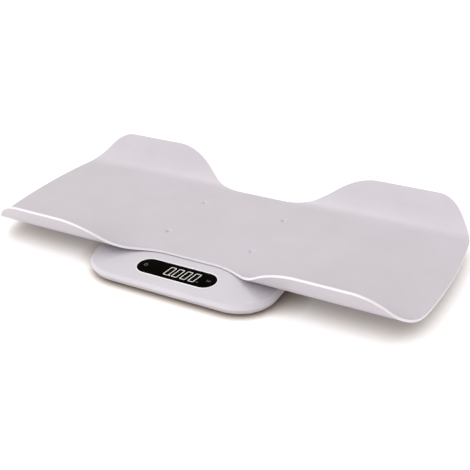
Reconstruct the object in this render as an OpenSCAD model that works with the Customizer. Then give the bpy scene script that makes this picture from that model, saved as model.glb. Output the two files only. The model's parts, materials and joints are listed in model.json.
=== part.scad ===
// Animal weighing scale: a long rolled tray that lifts off a four-footed electronic base.
// Frame: millimetres, +Z up, the table at z = 0, front towards -Y, origin under the middle of the whole.

/* [Tray] */
// Length of the tray from end to end
tray_l = 600; // [480:5:720]
// Width of the tray from front to back
tray_w = 288; // [250:2:350]
// Thickness of the tray's sheet
tray_t = 3; // [2.5:0.1:3.6]
// Width of the tray's flat floor
floor_w = 192; // [160:2:210]
// Inside radius where the floor rolls up into a wall
roll_r = 42; // [34:1:52]
// Angle to which each wall rises
wall_angle = 57; // [45:1:65]
// Depth of the notch in the front wall
front_notch = 47; // [38:1:56]
// Depth of the notch in the rear wall
rear_notch = 42; // [34:1:52]
// Length of the straight bottom of a notch
notch_flat = 66; // [40:2:90]
// Radius at the foot of a notch's slope
notch_inner_r = 75; // [60:1:90]
// Radius at the top of a notch's slope
notch_outer_r = 130; // [100:1:140]
// Radius of the tray's front corners
front_corner_r = 70; // [55:1:80]
// Radius of the tray's rear corners
rear_corner_r = 56; // [45:1:80]
// Radius of the slightly bowed ends
bow_r = 770; // [600:10:1000]
// Distance of the locating pegs from the sides of the base
peg_inset = 67; // [62:1:74]
// Distance between the locating pegs across the tray
peg_pitch_y = 96; // [80:1:116]
// Diameter of a locating peg
peg_d = 9; // [7:0.5:11]
// Length of a locating peg
peg_l = 8; // [6:0.5:9]

/* [Base] */
// Width of the base
base_w = 255; // [212:1:306]
// Depth of the base from front to back
base_d = 256; // [240:2:300]
// How far the base's nose stands in front of the tray
base_lead = 19; // [10:1:40]
// Corner radius of the base
base_r = 50; // [46:1:60]
// Wall thickness of the covers
wall = 2.2; // [1.8:0.1:2.6]
// Height of the feet below the bottom cover
foot_h = 5; // [4.2:0.1:7]
// Diameter of a foot
foot_d = 28; // [24:1:34]
// Distance of each foot's centre from the sides of the base
foot_inset = 30.5; // [29:0.5:40]
// Travel of a foot when its load cell is fully loaded
foot_travel = 0.4; // [0.2:0.1:0.5]

/* [Console] */
// Length of the display window
window_l = 108; // [90:1:130]
// Width of the display window
window_w = 31; // [26:1:37]
// Distance from the front of the base to the middle of the window
window_y = 34.5; // [32:0.5:40]
// Radius of the console's crowned top
crown_r = 580; // [500:10:700]
// Width of the raised middle between the hip lines
hip_w = 140; // [120:2:150]
// Height that the top loses from a hip line to the side of the base
hip_fall = 2.7; // [1.5:0.1:3.2]
// Width of the bright ring round the window
bezel_w = 1.5; // [1:0.1:2]

/* [Power and button] */
// Diameter of a battery cell
cell_d = 10.5; // [8.8:0.1:14.5]
// Length of a battery cell
cell_l = 44.5; // [38:0.5:54]
// Number of battery cells side by side
cell_count = 3; // [2:1:4]
// Diameter of the unit button
button_d = 9; // [7:0.5:11]
// Travel of the unit button
button_travel = 0.8; // [0.5:0.1:0.9]

/* [Hidden] */

// Colours
housing_white = [0.87, 0.86, 0.89];
shadow_white = [0.80, 0.79, 0.82];
pcb_green = [0.10, 0.34, 0.22];
steel = [0.70, 0.71, 0.73];
rubber_grey = [0.45, 0.46, 0.48];
wire_red = [0.70, 0.12, 0.10];

fn_round = 48;
eps = 0.01;

// Fits
part_gap = 0.3;
slip = 0.1;
pin_slip = 0.07;

// Heights, from the table up: each one follows from what is stacked below it
door_t = 1.8;
bottom_t = 2;
bay_gap = 0.35;
roof_t = 0.8;
roof_gap = 0.2;
cell_z = foot_h + door_t + bay_gap + cell_d / 2;
bay_top = cell_z + cell_d / 2 + bay_gap + roof_t;
cover_in = bay_top + roof_gap;
cover_top = cover_in + wall;
grip_proud = 0.8;
grip_seat = 1;
tray_z = cover_top + grip_proud;
floor_z = tray_z + tray_t;
seam_z = foot_h + 6.7;
floor_in = foot_h + bottom_t;

// Places, front to back
whole_w = tray_w + base_lead;
tray_y = base_lead / 2;
base_front = -whole_w / 2;
base_y = base_front + base_d / 2;
bow_y = 10;
peg_pitch_x = base_w - 2 * peg_inset;

// Base shape
side_lean = 0.54;
under_lean = 0.5;
seam_step = 0.6;
lip_h = 1.6;
lip_t = 1.6;
lip_root = 1;
lip_inset = wall + part_gap + side_lean * (lip_h + lip_root);
crown_y = base_front + 76.5;
crown_rear_y = base_front + base_d - 76.5;
big = 2 * crown_r;

// Tray details
section_steps = 14;
corner_steps = 10;
bow_steps = 8;
dimple_d = 12.5;
dimple_r = 30;
peg_chamfer = 1;
peg_gap = 0.4;
well_wall = 1.8;
grip_in = peg_d / 2 + peg_gap + 2.2;
grip_w = 4;

// Window stack, measured down from the console's surface at the window's middle
win_y = base_front + window_y;
win_drop = crown_r - sqrt(pow(crown_r, 2) - pow(crown_y - win_y, 2));
win_z = cover_top - win_drop;
win_tilt = asin((crown_y - win_y) / crown_r);
bezel_proud = 0.25;
glass_t = 1.5;
glass_low = 0.05;
gasket_t = 0.25;
ledge_w = 4;
collar_w = 3;
collar_h = 1.2;
seat_depth = glass_low + glass_t + gasket_t;
led_l = 50;
led_w = 20;
led_t = 3.6;
led_x = 8;
led_gap = 0.15;
board_t = 1.6;
board_top = seat_depth + led_t + led_gap;
board_w = window_w + 4;
board_l = window_l + 8;
board_z = board_top + board_t;
key_x = window_l / 2 - 10;
spring_wire = 0.6;
spring_r = 3;
screw_x = board_l / 2 - 4;
screw_y = board_w / 2 - 4;
post_r = 2.6;
chip_l = 9;
chip_h = 1.2;
plug_l = 14;
plug_w = 6;
plug_h = 3.4;
plug_wall = 0.3;
plug_depth = 4;

// Button and switch
button_x = 30;
switch_l = 6;
switch_h = 1.6;
plunger_r = 1.6;
plunger_h = 0.5;
flange_t = 0.8;
flange_gap = 0.2;
button_sink = 0.5;
button_slip = 0.3;
stem_gap = button_travel + 0.05;

// Feet and load cells
foot_x = base_w / 2 - foot_inset;
foot_front_y = base_front + foot_inset;
foot_rear_y = base_front + base_d - foot_inset;
pad_t = 1.8;
pad_sunk = 0.8;
pad_rim = 2;
foot_lift = foot_travel + 0.2;
stem_r = 6;
stem_hole_r = 6.6;
gauge_r = 15;
gauge_t = 1.4;
gauge_z = floor_in + 3;
gauge_slot = 1.2;
gauge_tongue_r = 8.4;
gauge_neck = 10;
holder_wall = 1.2;
holder_lip = 1;
holder_r = gauge_r + slip + holder_wall;
wire_gap = 4;

// Housing screws
boss_x = base_w / 2 - 27;
boss_front_y = base_front + 84;
boss_rear_y = base_front + base_d - 62;
boss_r = 4;
screw_r = 1.4;
screw_hole_r = 1.5;
screw_head_r = 3;
screw_head_h = 1.8;
well_depth = 2.6;
well_r = 3.6;
screw_l = 8;

// Battery bay
bay_wall = 1.5;
cell_gap = 0.5;
cell_pitch = cell_d + cell_gap;
spring_l = 5;
plate_t = 0.4;
nub_l = 1;
nub_r = 2.5;
bay_l = cell_l + nub_l + spring_l + 2 * plate_t + 2 * slip;
bay_w = cell_count * cell_pitch + 8;
bay_y = base_y + 25;
hinge_r = 1.3;
door_gap = 0.4;
pin_r = 0.8;
pin_l = 1.2;
hinge_y = bay_y + bay_w / 2 - hinge_r - part_gap;
hinge_z = foot_h + hinge_r;
latch_w = 12;
latch_h = 3;
latch_t = 1.2;

// Wires
wire_r = 0.8;
wire_z = floor_in + wire_r + 0.3;
wire_sides = 8;

// ---------------------------------------------------------------- shared shapes

function arc(c, r, a0, a1, n) = [for (i = [0:n]) let (a = a0 + (a1 - a0) * i / n) c + r * [cos(a), sin(a)]];
function reversed(p) = [for (i = [len(p) - 1:-1:0]) p[i]];
function flip_x(p) = [for (q = p) [-q[0], q[1]]];
function flip_y(p) = [for (q = p) [q[0], -q[1]]];

// Tube that follows a route, as one closed solid
function unit(v) = v / norm(v);
function tangent(p, i) = unit(p[min(i + 1, len(p) - 1)] - p[max(i - 1, 0)]);
function side_of(t) = abs(t[2]) > 0.9 ? unit(cross(t, [0, 1, 0])) : unit(cross(t, [0, 0, 1]));
function ring(p, i, r, n) = let (t = tangent(p, i), s = side_of(t), u = cross(s, t))
  [for (k = [0:n - 1]) p[i] + r * (cos(360 * k / n) * s + sin(360 * k / n) * u)];
module tube(p, r, n = wire_sides) {
  last = (len(p) - 1) * n;
  walls = [for (i = [0:len(p) - 2]) for (k = [0:n - 1]) let (j = (k + 1) % n)
    each [[i * n + k, i * n + j, i * n + n + j], [i * n + k, i * n + n + j, i * n + n + k]]];
  caps = [[for (k = [n - 1:-1:0]) k], [for (k = [0:n - 1]) last + k]];
  polyhedron([for (i = [0:len(p) - 1]) each ring(p, i, r, n)], concat(walls, caps));
}
function helix(r, h, turns, n = 10) = [for (i = [0:turns * n])
  [r * cos(360 * i / n), r * sin(360 * i / n), h * i / (turns * n)]];

// Rounded rectangle plate, centred on the base
module base_plate(inset, z, h) {
  translate([0, base_y, z]) linear_extrude(h) base_outline(inset);
}
module base_outline(inset) {
  square([base_w - 2 * base_r, base_d - 2 * inset], center = true);
  square([base_w - 2 * inset, base_d - 2 * base_r], center = true);
  for (x = [-1, 1], y = [-1, 1])
    translate([x * (base_w / 2 - base_r), y * (base_d / 2 - base_r)])
      circle(base_r - inset, $fn = fn_round);
}
// The same outline, leaning inwards from one height to another
module base_taper(inset_0, z_0, inset_1, z_1) {
  hull() {
    base_plate(inset_0, z_0, eps);
    base_plate(inset_1, z_1 - eps, eps);
  }
}
// Space under the crowned console and the two hip slopes, its top lowered by drop
module roof(drop) {
  top = cover_top - drop;
  intersection() {
    union() {
      translate([-big / 2, crown_y, 0]) cube([big, crown_rear_y - crown_y, top]);
      crown_half(crown_y, -1, top);
      crown_half(crown_rear_y, 1, top);
    }
    hip_side = top - hip_fall * (big - hip_w / 2) / (base_w / 2 - hip_w / 2);
    rotate([90, 0, 0]) linear_extrude(big, center = true)
      polygon([[-big, -big], [big, -big], [big, hip_side], [hip_w / 2, top], [-hip_w / 2, top],
        [-big, hip_side]]);
  }
}
module crown_half(y, side, top) {
  intersection() {
    translate([0, y, top - crown_r]) rotate([0, 90, 0])
      cylinder(r = crown_r, h = big, center = true, $fn = 720);
    translate([-big / 2, side > 0 ? y : y - big, 0]) cube([big, big, big]);
  }
}
module stadium(l, w, h) {
  linear_extrude(h) {
    square([l - w, w], center = true);
    for (x = [-1, 1]) translate([x * (l - w) / 2, 0]) circle(w / 2, $fn = 2 * fn_round);
  }
}
// Places children in the console's frame: z = 0 is its surface at the middle of the window
module on_console() {
  translate([0, win_y, win_z]) rotate([win_tilt, 0, 0]) children();
}
module at_pegs(z) {
  for (x = [-1, 1], y = [-1, 1]) translate([x * peg_pitch_x / 2, tray_y + y * peg_pitch_y / 2, z]) children();
}
module at_feet(z) {
  for (x = [-1, 1], y = [foot_front_y, foot_rear_y]) translate([x * foot_x, y, z]) children();
}
module at_bosses(z) {
  for (x = [-1, 1], y = [boss_front_y, boss_rear_y]) translate([x * boss_x, y, z]) children();
}
module at_board_posts(z) {
  for (x = [-1, 1], y = [-1, 1]) translate([x * screw_x, y * screw_y, z]) children();
}

// ---------------------------------------------------------------- tray

function notch_turn(depth) = acos(1 - depth / (notch_inner_r + notch_outer_r));
function corner_c(r, by) = let (cy = tray_w / 2 - r)
  [tray_l / 2 - bow_r + sqrt(pow(bow_r - r, 2) - pow(cy - by, 2)), cy];
function bow_end(r, by) = let (c = corner_c(r, by)) atan2(c[1] - by, c[0] - tray_l / 2 + bow_r);
// One quarter of the outline, from the notch out to the bowed end
function quarter(depth, r, by) = let (turn = notch_turn(depth),
    x = notch_flat / 2 + (notch_inner_r + notch_outer_r) * sin(turn))
  concat(
    arc([notch_flat / 2, tray_w / 2 - depth + notch_inner_r], notch_inner_r, -90, -90 + turn, corner_steps),
    arc([x, tray_w / 2 - notch_outer_r], notch_outer_r, 90 + turn, 90, corner_steps),
    arc(corner_c(r, by), r, 90, bow_end(r, by), corner_steps));
function tray_right() = let (a0 = -bow_end(front_corner_r, -bow_y), a1 = bow_end(rear_corner_r, bow_y),
    bow = arc([tray_l / 2 - bow_r, bow_y], bow_r, a0, a1, bow_steps))
  concat(flip_y(quarter(front_notch, front_corner_r, -bow_y)), [for (i = [1:bow_steps - 1]) bow[i]],
    reversed(quarter(rear_notch, rear_corner_r, bow_y)));
// Half of the tray's cross-section line, drop below its upper face
function half_section(drop) = concat(
  arc([floor_w / 2, roll_r], roll_r + drop, -90, -90 + wall_angle, section_steps),
  [[floor_w / 2, roll_r] + (roll_r + drop) * [sin(wall_angle), -cos(wall_angle)]
    + roll_r * [cos(wall_angle), sin(wall_angle)]]);

module tray_shell() color(housing_white) difference() {
  union() {
    intersection() {
      translate([0, tray_y, floor_z]) rotate([90, 0, 90]) linear_extrude(tray_l + 2, center = true)
        polygon(concat(half_section(0), reversed(half_section(tray_t)), flip_x(half_section(tray_t)),
          reversed(flip_x(half_section(0)))));
      translate([0, tray_y, 0]) linear_extrude(floor_z + 2 * roll_r)
        polygon(concat(tray_right(), flip_x(reversed(tray_right()))));
    }
    at_pegs(tray_z - peg_l) {
      translate([0, 0, peg_chamfer]) cylinder(d = peg_d, h = peg_l - peg_chamfer + eps, $fn = fn_round);
      cylinder(d1 = peg_d - 2 * peg_chamfer, d2 = peg_d, h = peg_chamfer, $fn = fn_round);
    }
  }
  dimple_sink = dimple_r - sqrt(pow(dimple_r, 2) - pow(dimple_d / 2, 2));
  at_pegs(floor_z - dimple_sink + dimple_r) sphere(dimple_r, $fn = 2 * fn_round);
}

module tray_grips() color(rubber_grey) at_pegs(cover_top - grip_seat) difference() {
  cylinder(r = grip_in + grip_w, h = grip_seat + grip_proud, $fn = fn_round);
  translate([0, 0, -1]) cylinder(r = grip_in, h = 2 + grip_seat + grip_proud, $fn = fn_round);
}

// ---------------------------------------------------------------- covers

module top_cover() color(housing_white) difference() {
  union() {
    difference() {
      intersection() {
        base_taper(0, seam_z, side_lean * (cover_top - seam_z), cover_top);
        roof(0);
      }
      intersection() {
        base_taper(wall, seam_z - lip_root, wall + side_lean * (cover_top - seam_z + lip_root), cover_top);
        roof(wall);
      }
    }
    // wells that the tray's pegs drop into
    at_pegs(tray_z - peg_l - peg_gap - well_wall)
      cylinder(d = peg_d + 2 * (peg_gap + well_wall), h = peg_l + peg_gap + well_wall - grip_proud - wall / 2,
        $fn = fn_round);
    intersection() {
      roof(wall / 2);
      union() {
        // collar that stiffens the window's seat
        on_console() translate([0, 0, -seat_depth - collar_h])
          stadium(window_l + 2 * (bezel_w + collar_w), window_w + 2 * (bezel_w + collar_w),
            collar_h + seat_depth);
        on_console() at_board_posts(-board_top) cylinder(r = post_r, h = board_top, $fn = fn_round);
        at_bosses(floor_in + boss_lift()) cylinder(r = boss_r, h = cover_top, $fn = fn_round);
      }
    }
  }
  at_pegs(tray_z - peg_l - peg_gap)
    cylinder(d = peg_d + 2 * peg_gap, h = peg_l + peg_gap + 1, $fn = fn_round);
  at_pegs(cover_top - grip_seat) difference() {
    cylinder(r = grip_in + grip_w + slip, h = grip_seat + 1, $fn = fn_round);
    translate([0, 0, -1]) cylinder(r = grip_in - slip, h = grip_seat + 3, $fn = fn_round);
  }
  on_console() {
    translate([0, 0, -seat_depth])
      stadium(window_l + 2 * bezel_w + 2 * slip, window_w + 2 * bezel_w + 2 * slip, seat_depth + 2);
    translate([0, 0, -seat_depth - collar_h - 1])
      stadium(window_l - 2 * ledge_w, window_w - 2 * ledge_w, seat_depth + collar_h + 2);
    at_board_posts(-board_top - 1) cylinder(r = screw_hole_r - 0.5, h = 4.5, $fn = fn_round);
  }
  at_bosses(floor_in) cylinder(r = screw_hole_r, h = screw_l + 1, $fn = fn_round);
}
function boss_lift() = well_depth + 1.4 - bottom_t;

module bottom_cover() color(shadow_white) difference() {
  union() {
    difference() {
      union() {
        base_taper(seam_step + under_lean * (seam_z - foot_h), foot_h, seam_step, seam_z - slip);
        // lip that locates inside the top cover
        base_plate(lip_inset, seam_z - lip_root, lip_root + lip_h);
      }
      base_taper(wall + under_lean * (seam_z - floor_in) + seam_step, floor_in,
        lip_inset + lip_t, seam_z - lip_root);
      base_plate(lip_inset + lip_t, seam_z - lip_root - eps, lip_root + lip_h + 1);
    }
    // battery bay, closed on top
    translate([-bay_l / 2 - bay_wall, bay_y - bay_w / 2 - bay_wall, foot_h])
      cube([bay_l + 2 * bay_wall, bay_w + 2 * bay_wall, bay_top - foot_h]);
    at_bosses(foot_h) cylinder(r = boss_r + 1, h = bottom_t + boss_lift() - slip, $fn = fn_round);
  }
  translate([-bay_l / 2, bay_y - bay_w / 2, foot_h - 1]) cube([bay_l, bay_w, bay_top - roof_t - foot_h + 1]);
  translate([0, hinge_y, hinge_z]) rotate([0, 90, 0])
    cylinder(r = pin_r + pin_slip, h = bay_l + 2 * pin_l + 2 * slip, center = true, $fn = fn_round);
  at_bosses(foot_h - 1) {
    cylinder(r = screw_hole_r + slip, h = 10, $fn = fn_round);
    cylinder(r = well_r, h = well_depth + 1, $fn = fn_round);
  }
  at_feet(foot_h - 1) cylinder(r = stem_hole_r, h = bottom_t + 2, $fn = fn_round);
  translate([button_x, win_y, foot_h - 1])
    cylinder(d = button_d + 2 * button_slip, h = bottom_t + 2, $fn = fn_round);
}

// ---------------------------------------------------------------- display

module window_bezel() color("white") on_console() translate([0, 0, -seat_depth]) difference() {
  stadium(window_l + 2 * bezel_w, window_w + 2 * bezel_w, seat_depth + bezel_proud);
  translate([0, 0, -1]) stadium(window_l, window_w, seat_depth + 3);
}

module display_window() color([0.09, 0.09, 0.08]) on_console() translate([0, 0, -glass_low - glass_t])
  stadium(window_l - 2 * slip, window_w - 2 * slip, glass_t);

module window_gasket() color([0.15, 0.15, 0.15]) on_console() translate([0, 0, -seat_depth]) difference() {
  stadium(window_l - 1, window_w - 1, gasket_t);
  translate([0, 0, -1]) stadium(window_l - 2 * ledge_w, window_w - 2 * ledge_w, gasket_t + 2);
}

module led_display() color([0.85, 0.85, 0.82]) on_console()
  translate([led_x - led_l / 2, -led_w / 2, -board_top]) cube([led_l, led_w, led_t]);

module display_board() color(pcb_green) on_console() translate([0, 0, -board_z]) difference() {
  translate([-board_l / 2, -board_w / 2, 0]) cube([board_l, board_w, board_t]);
  at_board_posts(-1) cylinder(r = screw_hole_r, h = board_t + 2, $fn = fn_round);
}

module controller_chip() color([0.12, 0.12, 0.13]) on_console()
  translate([-30 - chip_l / 2, -chip_l / 2, -board_z - chip_h]) cube([chip_l, chip_l, chip_h]);

module wire_connector() color([0.90, 0.89, 0.84]) on_console() translate([0, 0, -board_z - plug_h])
  difference() {
    translate([-plug_l / 2, board_w / 2 - plug_w - 1, 0]) cube([plug_l, plug_w, plug_h]);
    translate([-plug_l / 2 + plug_wall, board_w / 2 - 1 - plug_depth, plug_wall])
      cube([plug_l - 2 * plug_wall, plug_depth + 1, plug_h - 2 * plug_wall]);
  }

module board_screws() color(steel) on_console() at_board_posts(-board_z) {
  translate([0, 0, -1.2]) cylinder(r = 2, h = 1.2, $fn = fn_round);
  translate([0, 0, -eps]) cylinder(r = screw_hole_r - 0.6, h = board_t + 3, $fn = fn_round);
}

module touch_spring(x) color(steel) on_console() translate([x, 0, -board_top + spring_wire / 2])
  tube(helix(spring_r, board_top - glass_t - glass_low - spring_wire, 3), spring_wire / 2, 6);
module touch_spring_left() touch_spring(-key_x);
module touch_spring_right() touch_spring(key_x);

module unit_switch() color([0.2, 0.2, 0.21]) on_console() translate([button_x, 0, -board_z]) {
  translate([-switch_l / 2, -switch_l / 2, -switch_h]) cube([switch_l, switch_l, switch_h]);
  translate([0, 0, -switch_h - plunger_h]) cylinder(r = plunger_r, h = plunger_h + eps, $fn = fn_round);
}

// Stands under the switch, which leans with the board, so its tip stops short of the lowest edge
module unit_button() color([0.62, 0.63, 0.66]) translate([button_x, win_y, 0]) {
  tip = win_z - (board_z + switch_h + plunger_h) * cos(win_tilt) - plunger_r * sin(win_tilt) - stem_gap;
  translate([0, 0, foot_h + button_sink])
    cylinder(d = button_d, h = bottom_t - button_sink + flange_gap + eps, $fn = fn_round);
  translate([0, 0, floor_in + flange_gap]) cylinder(d = button_d + 3, h = flange_t, $fn = fn_round);
  translate([0, 0, floor_in + flange_gap])
    cylinder(r = plunger_r, h = tip - floor_in - flange_gap, $fn = fn_round);
}

// ---------------------------------------------------------------- feet

module load_cell(x, y) color(steel) translate([x, y, gauge_z]) difference() {
  cylinder(r = gauge_r, h = gauge_t, $fn = fn_round);
  difference() {
    translate([0, 0, -1]) cylinder(r = gauge_tongue_r + gauge_slot, h = gauge_t + 2, $fn = fn_round);
    translate([0, 0, -2]) cylinder(r = gauge_tongue_r, h = gauge_t + 4, $fn = fn_round);
    translate([-gauge_neck / 2, 0, -2]) cube([gauge_neck, 2 * gauge_r, gauge_t + 4]);
  }
}
module load_cell_front_left() load_cell(-foot_x, foot_front_y);
module load_cell_front_right() load_cell(foot_x, foot_front_y);
module load_cell_rear_left() load_cell(-foot_x, foot_rear_y);
module load_cell_rear_right() load_cell(foot_x, foot_rear_y);

// Ring that seats the load cell and laps over its edge; a gap in it lets the wire out
module cell_retainer(x, y) color([0.25, 0.26, 0.28]) translate([x, y, floor_in]) difference() {
  cylinder(r = holder_r, h = gauge_z + gauge_t + slip + holder_lip - floor_in, $fn = fn_round);
  translate([0, 0, -1]) cylinder(r = gauge_r - 2, h = 20, $fn = fn_round);
  translate([0, 0, gauge_z - floor_in]) cylinder(r = gauge_r + slip, h = gauge_t + slip, $fn = fn_round);
  translate([-wire_gap / 2, y > base_y ? -2 * holder_r : 0, gauge_z + gauge_t - floor_in])
    cube([wire_gap, 2 * holder_r, 5]);
}
module cell_retainer_front_left() cell_retainer(-foot_x, foot_front_y);
module cell_retainer_front_right() cell_retainer(foot_x, foot_front_y);
module cell_retainer_rear_left() cell_retainer(-foot_x, foot_rear_y);
module cell_retainer_rear_right() cell_retainer(foot_x, foot_rear_y);

// The stem carries the weight up through the bottom cover to the load cell's tongue
module foot(x, y) color(shadow_white) translate([x, y, 0]) {
  difference() {
    translate([0, 0, pad_t - pad_sunk])
      cylinder(d = foot_d, h = foot_h - foot_lift - pad_t + pad_sunk, $fn = fn_round);
    translate([0, 0, -1]) cylinder(d = foot_d - 2 * pad_rim, h = pad_t + 1, $fn = fn_round);
  }
  translate([0, 0, foot_h - foot_lift - eps])
    cylinder(r = stem_r, h = gauge_z - foot_h + foot_lift + eps, $fn = fn_round);
}
module foot_front_left() foot(-foot_x, foot_front_y);
module foot_front_right() foot(foot_x, foot_front_y);
module foot_rear_left() foot(-foot_x, foot_rear_y);
module foot_rear_right() foot(foot_x, foot_rear_y);

module foot_pad(x, y) color(rubber_grey) translate([x, y, 0])
  cylinder(d = foot_d - 2 * pad_rim - 2 * slip, h = pad_t, $fn = fn_round);
module foot_pad_front_left() foot_pad(-foot_x, foot_front_y);
module foot_pad_front_right() foot_pad(foot_x, foot_front_y);
module foot_pad_rear_left() foot_pad(-foot_x, foot_rear_y);
module foot_pad_rear_right() foot_pad(foot_x, foot_rear_y);

// ---------------------------------------------------------------- power

// Neighbouring cells point opposite ways
module at_cells() for (i = [0:cell_count - 1])
  translate([0, cell_y(i), cell_z]) mirror([i % 2, 0, 0]) children();
function cell_y(i) = bay_y + (i - (cell_count - 1) / 2) * cell_pitch;
cell_x = (spring_l - nub_l) / 2;

module battery_cells() color([0.22, 0.36, 0.62]) at_cells() translate([cell_x, 0, 0]) rotate([0, 90, 0]) {
  cylinder(d = cell_d, h = cell_l, center = true, $fn = fn_round);
  translate([0, 0, cell_l / 2 - eps]) cylinder(r = nub_r, h = nub_l + eps, $fn = fn_round);
}

module battery_springs() color(steel) at_cells()
  translate([cell_x - cell_l / 2 - spring_l + spring_wire / 2, 0, 0])
    rotate([0, 90, 0]) tube(helix(spring_r, spring_l - spring_wire, 3), spring_wire / 2, 6);

module battery_contacts() color(steel) for (x = [-1, 1]) for (i = [0:cell_count - 1])
  translate([x * (bay_l / 2 - slip - plate_t / 2), cell_y(i), cell_z])
    cube([plate_t, cell_pitch - 2, cell_d - 2], center = true);

// Swings down on two pins at its rear edge; the tongue at its front edge latches it
module battery_door() color(shadow_white) {
  door_l = bay_l - 2 * door_gap;
  door_front = bay_y - bay_w / 2 + door_gap;
  translate([-door_l / 2, door_front, foot_h]) cube([door_l, hinge_y - door_front, door_t]);
  translate([0, hinge_y, hinge_z]) rotate([0, 90, 0]) {
    cylinder(r = hinge_r, h = door_l, center = true, $fn = fn_round);
    cylinder(r = pin_r, h = bay_l + 2 * pin_l, center = true, $fn = fn_round);
  }
  translate([-latch_w / 2, door_front, foot_h]) cube([latch_w, latch_t, door_t + latch_h]);
}

module housing_screws() color(steel) at_bosses(foot_h + well_depth) {
  translate([0, 0, -screw_head_h]) cylinder(r = screw_head_r, h = screw_head_h, $fn = fn_round);
  cylinder(r = screw_r, h = screw_l, $fn = fn_round);
}

// ---------------------------------------------------------------- wires

plug_in = board_w / 2 - plug_depth;
wire_end_y = win_y + plug_in * cos(win_tilt) + (board_z + plug_h / 2) * sin(win_tilt);
wire_end_z = win_z + plug_in * sin(win_tilt) - (board_z + plug_h / 2) * cos(win_tilt);
wire_turn_y = wire_end_y + 12;
// The last stretch of every wire, up from the floor of the base into the back of the connector
function into_plug(x) = [[x, wire_end_y + plug_depth + 4, (wire_z + wire_end_z) / 2],
  [x, wire_end_y + plug_depth, wire_end_z], [x, wire_end_y, wire_end_z]];
// The first stretch of a load cell's wire, off the cell, through the retainer's gap and down to the floor
function off_gauge(x, y, way) = let (edge = holder_r + 1, top = gauge_z + gauge_t + wire_r + slip)
  [[x, y + way * (edge - 6), top], [x, y + way * edge, top], [x, y + way * (edge + 3), top - 1],
    [x, y + way * (edge + 6), wire_z]];
module front_wire(side, slot) color(wire_red) tube(concat(off_gauge(side * foot_x, foot_front_y, 1),
  [[side * (foot_x - 2), wire_turn_y - 2, wire_z], [side * (foot_x - 6), wire_turn_y, wire_z],
    [side * (slot + 4), wire_turn_y, wire_z]],
  into_plug(side * slot)), wire_r);
module rear_wire(side, slot) color(wire_red) tube(concat(off_gauge(side * foot_x, foot_rear_y, -1),
  [[side * (foot_x - 5), foot_rear_y - 27, wire_z], [side * (foot_x - 14), foot_rear_y - 33, wire_z],
    [side * (foot_x - 34), wire_turn_y + 40, wire_z], [side * (foot_x - 44), wire_turn_y + 12, wire_z],
    [side * (slot + 4), wire_turn_y + 6, wire_z]],
  into_plug(side * slot)), wire_r);
module cell_wire_front_left() front_wire(-1, 5);
module cell_wire_front_right() front_wire(1, 5);
module cell_wire_rear_left() rear_wire(-1, 3);
module cell_wire_rear_right() rear_wire(1, 3);

module battery_wires() color("black") for (x = [-1, 1]) {
  start = bay_y - bay_w / 2 - bay_wall;
  tube(concat([[x, start, wire_z], [x, start - 8, wire_z], [x, wire_turn_y + 2, wire_z]],
    into_plug(x)), wire_r);
}

tray_shell();
tray_grips();
top_cover();
bottom_cover();
window_bezel();
display_window();
window_gasket();
led_display();
display_board();
controller_chip();
wire_connector();
board_screws();
touch_spring_left();
touch_spring_right();
unit_switch();
unit_button();
load_cell_front_left();
load_cell_front_right();
load_cell_rear_left();
load_cell_rear_right();
cell_retainer_front_left();
cell_retainer_front_right();
cell_retainer_rear_left();
cell_retainer_rear_right();
foot_front_left();
foot_front_right();
foot_rear_left();
foot_rear_right();
foot_pad_front_left();
foot_pad_front_right();
foot_pad_rear_left();
foot_pad_rear_right();
battery_cells();
battery_springs();
battery_contacts();
battery_door();
housing_screws();
cell_wire_front_left();
cell_wire_front_right();
cell_wire_rear_left();
cell_wire_rear_right();
battery_wires();
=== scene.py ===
# %% [markdown]
# # Animal weighing scale
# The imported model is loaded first: it fixes where every piece is, how large it is and how it moves.
# Everything after that only makes the pieces look like the real ones. All lengths are in metres.

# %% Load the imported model
import json
from math import acos, asin, atan2, cos, hypot, pi, radians, sin, sqrt, tan

import bpy
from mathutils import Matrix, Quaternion, Vector

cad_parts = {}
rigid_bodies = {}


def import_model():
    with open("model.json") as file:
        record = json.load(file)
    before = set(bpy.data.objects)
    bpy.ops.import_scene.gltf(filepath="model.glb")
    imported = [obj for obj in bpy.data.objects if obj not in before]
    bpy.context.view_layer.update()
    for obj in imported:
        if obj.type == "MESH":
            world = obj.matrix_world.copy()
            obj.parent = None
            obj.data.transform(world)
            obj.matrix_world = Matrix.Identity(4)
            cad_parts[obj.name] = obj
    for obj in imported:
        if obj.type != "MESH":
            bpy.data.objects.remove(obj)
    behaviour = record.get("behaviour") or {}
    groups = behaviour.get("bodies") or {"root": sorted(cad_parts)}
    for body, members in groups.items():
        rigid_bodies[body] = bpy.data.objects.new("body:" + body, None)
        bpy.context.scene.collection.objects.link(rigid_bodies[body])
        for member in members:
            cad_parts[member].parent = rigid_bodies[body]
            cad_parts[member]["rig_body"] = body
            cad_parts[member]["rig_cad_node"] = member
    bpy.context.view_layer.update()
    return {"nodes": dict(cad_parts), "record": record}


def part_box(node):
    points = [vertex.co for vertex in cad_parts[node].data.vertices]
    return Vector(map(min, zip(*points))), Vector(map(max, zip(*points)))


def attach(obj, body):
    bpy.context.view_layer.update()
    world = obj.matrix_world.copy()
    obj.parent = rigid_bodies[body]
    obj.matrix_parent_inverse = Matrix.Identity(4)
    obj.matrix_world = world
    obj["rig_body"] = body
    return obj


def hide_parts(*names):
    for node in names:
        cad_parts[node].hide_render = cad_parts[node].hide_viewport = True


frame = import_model()
MM = 0.001

# %% [markdown]
# ## Camera
# The camera stands to the front right and looks down from about 28 degrees above the table, with a
# longish lens, so that near and far edges stay almost parallel.

# %% Camera
CAMERA_TURN = radians(27.9)
CAMERA_LIFT = radians(27.6)
CAMERA_ROLL = radians(-0.4)
CAMERA_TARGET = Vector((11.8, 9.5, 13.8)) * MM
CAMERA_DISTANCE = 1.0884

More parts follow.
